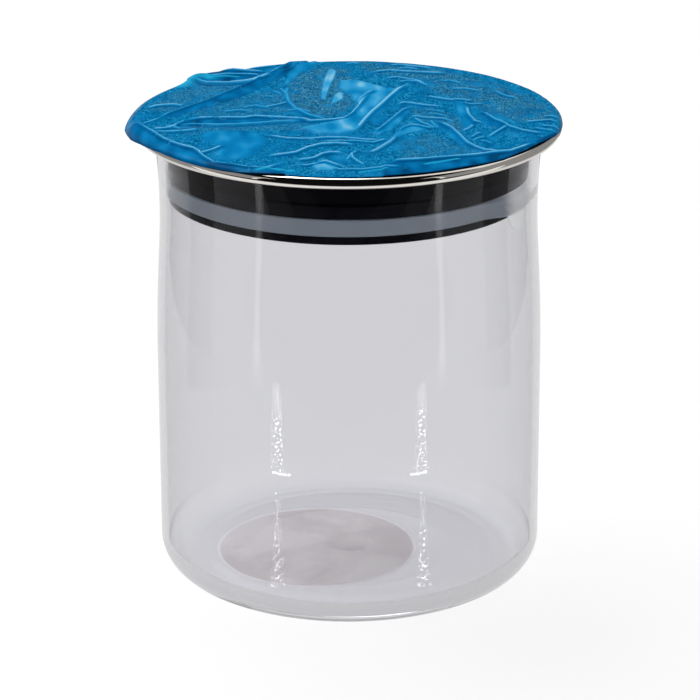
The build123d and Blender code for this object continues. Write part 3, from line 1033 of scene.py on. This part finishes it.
studio = {
    "floorSize": 6,
    "floorLow": 0.02 * mm,
    "floorColour": "8A8A8C",
    "floorGlow": 0.8,
    "worldLight": 0.4,
    "stripAngle": 46,        # degrees from the camera's side, left and right
    "stripDistance": 1.2,
    "stripWidth": 0.05,
    "stripHeight": 1.4,
    "stripPower": 2.5,
    "topPower": 7,
    "topSize": 0.8,
    "topPlace": (-0.4, 0.45, 1.1),
    # cloth cards: middle, width, height, turn about X and about Z in degrees, colour, and
    # through how many glass faces at least and at most they show in a reflection
    "cards": {
        "front_card": ((0, -1.7, 0.78), 1.4, 1.5, 90, 0, "101010", 0, 99),
        "wide_card": ((0, -1.72, 0.8), 3.8, 1.6, 90, 0, "101010", 0, 0),
        "upper_card": ((0, -1.0, 1.6), 3, 2.2, 0, 0, "101010", 0, 99),
        "front_mat": ((0, -1.76, 0.002), 3.4, 3, 0, 0, "101010", 0, 99),
        "front_rim1": ((0, -0.245, 0.002), 3.4, 0.03, 0, 0, "5A5A5A", 0, 99),
        "front_rim2": ((0, -0.21, 0.002), 3.4, 0.04, 0, 0, "A0A0A0", 0, 99),
        "left_fore_mat": ((-0.98, -0.15, 0.0045), 1.44, 0.26, 0, 0, "101010", 1, 99),
        "right_fore_mat": ((0.98, -0.15, 0.0045), 1.44, 0.26, 0, 0, "101010", 1, 99),
        "left_mat": ((-0.98, 0.025, 0.004), 1.44, 0.55, 0, 0, "101010", 2, 99),
        "right_mat": ((0.98, 0.025, 0.004), 1.44, 0.55, 0, 0, "101010", 2, 99),
        "back_card": ((0, 0.36, 0.4), 0.7, 0.54, 90, 0, "101010", 0, 0),
        "left_card": ((-1.7, 0.6, 0.9), 4, 1.8, 90, 90, "9A9A9A", 0, 0),
        "right_card": ((1.7, 0.6, 0.9), 4, 1.8, 90, 90, "9A9A9A", 0, 0),
        "near_mat": ((0, 0.145, 0.0025), 0.49, 0.37, 0, 0, "EAEAEA", 0, 0),
        "floor_mat": ((0, 1.46, 0.002), 6, 3, 0, 0, "9A9A9A", 0, 0),
    },
    # bright streaks on the table beside the camera, which show as upright lines in the outside
    # of the glass: start and end in mm, width in mm, glow, whether it is broken into specks, and
    # over how many mm it fades in
    "streaks": {
        "low_left": ((-86, -118), (-148, -184), 22, 56, True, 0),
        "foot_left": ((-91, -113), (-71, -127), 3, 26, False, 0),
        "base_left": ((-76, -107), (-31, -60), 8, 40, True, 0),
        "high_left": ((-165, -141), (-324, -250), 28, 4, False, 60),
        "low_right": ((85, -117), (147, -184), 22, 56, True, 0),
        "foot_right": ((91, -113), (73, -126), 3, 26, False, 0),
        "base_right": ((77, -106), (32, -59), 8, 40, True, 0),
        "high_right": ((165, -139), (327, -245), 28, 4, False, 60),
    },
    "streakHeight": 3,       # mm above the table
    "streakColumns": 8,
    "speckScale": (2.6, 1 / (2.4 * mm), 1),    # across, per half width, and along
    "speckEdge": (0.55, 0.62),
}


def addLamp(name, place, aim, width, height, power):
    lamp = bpy.data.lights.new(name, "AREA")
    lamp.shape = "RECTANGLE"
    lamp.size = width
    lamp.size_y = height
    lamp.energy = power
    holder = bpy.data.objects.new(name, lamp)
    holder.location = place
    holder.rotation_euler = (Vector(aim) - Vector(place)).to_track_quat("-Z", "Y").to_euler()
    bpy.context.scene.collection.objects.link(holder)
    return holder


def seenRays(add):  # 1 for rays of the camera and of mirrors and glass, 0 for those that light
    ray = add("LightPath")
    seen = ray.outputs["Is Camera Ray"]
    for kind in ("Is Glossy Ray", "Is Transmission Ray"):
        seen = add("Math", {"operation": "MAXIMUM"}, {0: seen, 1: ray.outputs[kind]})
    return seen


def studioFloor():
    # white card, evenly lit: most of its white is its own, so that the jar's shadow stays soft
    # and pale
    shape = bmesh.new()
    bmesh.ops.create_grid(shape, x_segments=1, y_segments=1, size=studio["floorSize"],
                          matrix=Matrix.Translation((0, 0, -studio["floorLow"])))
    floor = finishMesh("studio_floor", shape)
    material, add = newMaterial("white_card")
    card = add("BsdfDiffuse", {"Color": studio["floorColour"]})
    glow = add("Math", {"operation": "MULTIPLY", 1: studio["floorGlow"]}, {0: seenRays(add)})
    glow = add("Emission", {"Color": "FFFFFF"}, {"Strength": glow})
    both = add("AddShader", {}, {0: card, 1: glow})
    floor.data.materials.append(finishMaterial(material, both))


def studioWorld():
    world = bpy.data.worlds.new("white_studio")
    world.use_nodes = True
    bpy.context.scene.world = world
    world.node_tree.nodes.clear()
    add = partial(addNode, world.node_tree)
    strength = add("MapRange", {"To Min": studio["worldLight"], "To Max": 1},
                   {"Value": seenRays(add)})
    sky = add("Background", {"Color": "FFFFFF"}, {"Strength": strength})
    add("OutputWorld", {}, {"Surface": sky})


def mirrorOnly(piece):  # seen in metal, glass and film, and nowhere else
    piece.visible_camera = piece.visible_diffuse = False
    piece.visible_transmission = piece.visible_shadow = False


def clothCard(name, place, width, height, turnX, turnZ, colour, least, most):
    # a cloth on a frame, or on the table, that can be left out of reflections seen through glass
    shape = bmesh.new()
    turn = Matrix.Rotation(radians(turnZ), 4, "Z") @ Matrix.Rotation(radians(turnX), 4, "X")
    stretch = Matrix.Diagonal((width / 2, height / 2, 1, 1))
    bmesh.ops.create_grid(shape, x_segments=1, y_segments=1, size=1,
                          matrix=Matrix.Translation(place) @ turn @ stretch)
    card = finishMesh(name, shape)
    material, add = newMaterial("studio_cloth")
    faces = add("LightPath").outputs["Transmission Depth"]
    enough = add("Math", {"operation": "GREATER_THAN", 1: least - 0.5}, {0: faces})
    shown = add("Math", {"operation": "LESS_THAN", 1: most + 0.5}, {0: faces})
    shown = add("Math", {"operation": "MULTIPLY"}, {0: shown, 1: enough})
    clear = add("BsdfTransparent")
    cloth = add("Emission", {"Color": colour})
    cloth = add("MixShader", {}, {"Fac": shown, 1: clear, 2: cloth})
    card.data.materials.append(finishMaterial(material, cloth))
    mirrorOnly(card)


def lightStreak(name, start, end, width, glow, speckled, fades):
    # a strip of light that is brightest along its middle
    start, end = (Vector((x, y, studio["streakHeight"])) * mm for x, y in (start, end))
    side = (end - start).cross(Vector((0, 0, 1))).normalized() * width * mm / 2
    shape = bmesh.new()
    bmesh.ops.create_grid(shape, x_segments=studio["streakColumns"], y_segments=1, size=1)
    places = [(point.co.x, (point.co.y + 1) / 2) for point in shape.verts]
    for point, (across, along) in zip(shape.verts, places):
        point.co = start.lerp(end, along) + side * across
    addLayer(shape, "across", [across for across, along in places])
    addLayer(shape, "along", [along * (end - start).length for across, along in places])
    streak = finishMesh(name, shape)

    material, add = newMaterial("light_streak")
    across, along = (add("Attribute", {"attribute_name": name}).outputs["Fac"]
                     for name in ("across", "along"))
    strength = add("Math", {"operation": "POWER", 1: 2}, {0: across})
    strength = add("MapRange", {"To Min": glow, "To Max": 0}, {"Value": strength})
    share = None
    if speckled:
        least, most = studio["speckEdge"]
        place = add("CombineXYZ", {}, {"X": across, "Y": along})
        place = add("Mapping", {"Scale": studio["speckScale"]}, {"Vector": place})
        specks = add("TexNoise", {"Scale": 1, "Detail": 2}, {"Vector": place})
        share = add("MapRange", {"From Min": least, "From Max": most}, {"Value": specks})
    elif fades:
        share = add("MapRange", {"From Max": fades * mm}, {"Value": along})
    if share:
        strength = add("Math", {"operation": "MULTIPLY"}, {0: strength, 1: share})
    # it shows in the outside of the glass alone: through no face, and in sharp reflections
    ray = add("LightPath")
    shown = add("Math", {"operation": "LESS_THAN", 1: 0.5}, {0: ray.outputs["Transmission Depth"]})
    shown = add("Math", {"operation": "MULTIPLY"}, {0: shown, 1: ray.outputs["Is Singular Ray"]})
    clear = add("BsdfTransparent")
    light = add("Emission", {}, {"Strength": strength})
    light = add("AddShader", {}, {0: clear, 1: light})
    seen = add("MixShader", {}, {"Fac": shown, 1: clear, 2: light})
    streak.data.materials.append(finishMaterial(material, seen))
    mirrorOnly(streak)


middle = (0, 0, jarHeight / 2)
for side, name in ((-1, "strip_left"), (1, "strip_right")):
    turn = radians(studio["stripAngle"]) * side
    place = Vector((sin(turn), -cos(turn), 0)) * studio["stripDistance"]
    place.z = studio["stripHeight"] / 2
    strip = addLamp(name, place, middle, studio["stripWidth"], studio["stripHeight"],
                    studio["stripPower"])
    strip.visible_glossy = False       # no lines of it in the bead
addLamp("top_lamp", studio["topPlace"], middle, studio["topSize"], studio["topSize"],
        studio["topPower"])
studioFloor()
for name, card in studio["cards"].items():
    clothCard(name, *card)
for name, streak in studio["streaks"].items():
    lightStreak("streak_" + name, *streak)
studioWorld()
bpy.context.scene.view_settings.view_transform = "Standard"
print("studio", len(studio["cards"]), "cards,", len(studio["streaks"]), "streaks")
